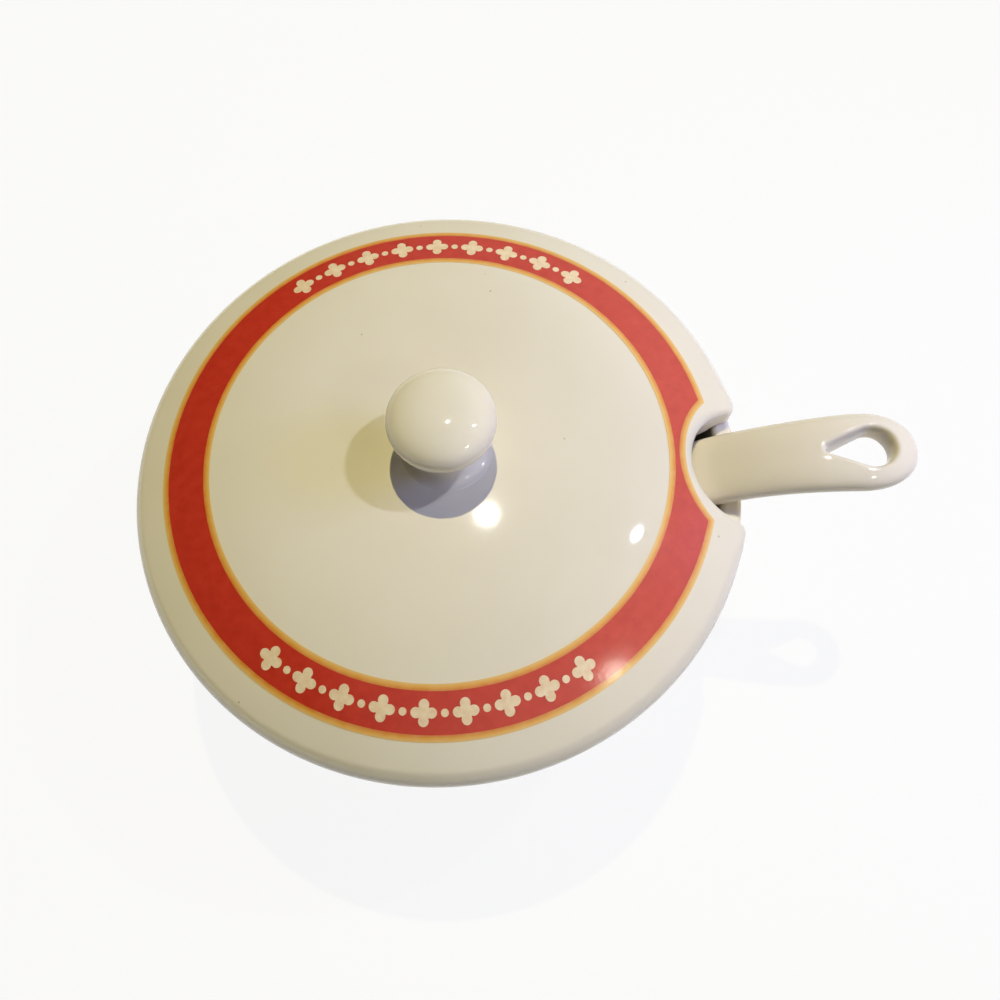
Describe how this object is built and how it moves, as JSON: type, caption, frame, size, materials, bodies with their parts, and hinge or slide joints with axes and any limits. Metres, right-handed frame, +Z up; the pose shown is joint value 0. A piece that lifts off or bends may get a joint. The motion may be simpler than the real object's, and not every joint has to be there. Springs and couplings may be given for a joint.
{
  "type": "lidded condiment bowl with spoon",
  "caption": "Footed round bowl with a domed lid, round knob and a spoon whose handle leaves through a notch in the lid, for grated cheese at table.",
  "frame": {"origin": "centre of the foot ring, on the plane that the bowl stands on", "axes": "+Z up along the axis of the bowl and lid, +X along the spoon's handle, out through the lid's notch"},
  "size_m": [0.1624, 0.13, 0.0988],
  "materials": {
    "bowl_glaze": "gloss cream-white glaze",
    "lid_glaze": "gloss cream-white glaze",
    "spoon_glaze": "gloss cream-white glaze",
    "red_print": "gloss fired-on red print",
    "gold_print": "gloss fired-on golden print"
  },
  "bodies": {
    "bowl": {"bowl": "bowl_glaze"},
    "spoon": {"spoon": "spoon_glaze"},
    "lid": {"lid": "lid_glaze", "knob": "lid_glaze", "red_band": "red_print", "inner_line": "gold_print", "outer_line": "gold_print"}
  },
  "joints": [
    {"name": "spoon_lift", "type": "slide", "parent": "bowl", "child": "spoon", "axis": [0, 0, 1], "range_m": [0, 0.11]},
    {"name": "lid_lift", "type": "slide", "parent": "spoon", "child": "lid", "axis": [0, 0, 1], "range_m": [0, 0.12]}
  ]
}
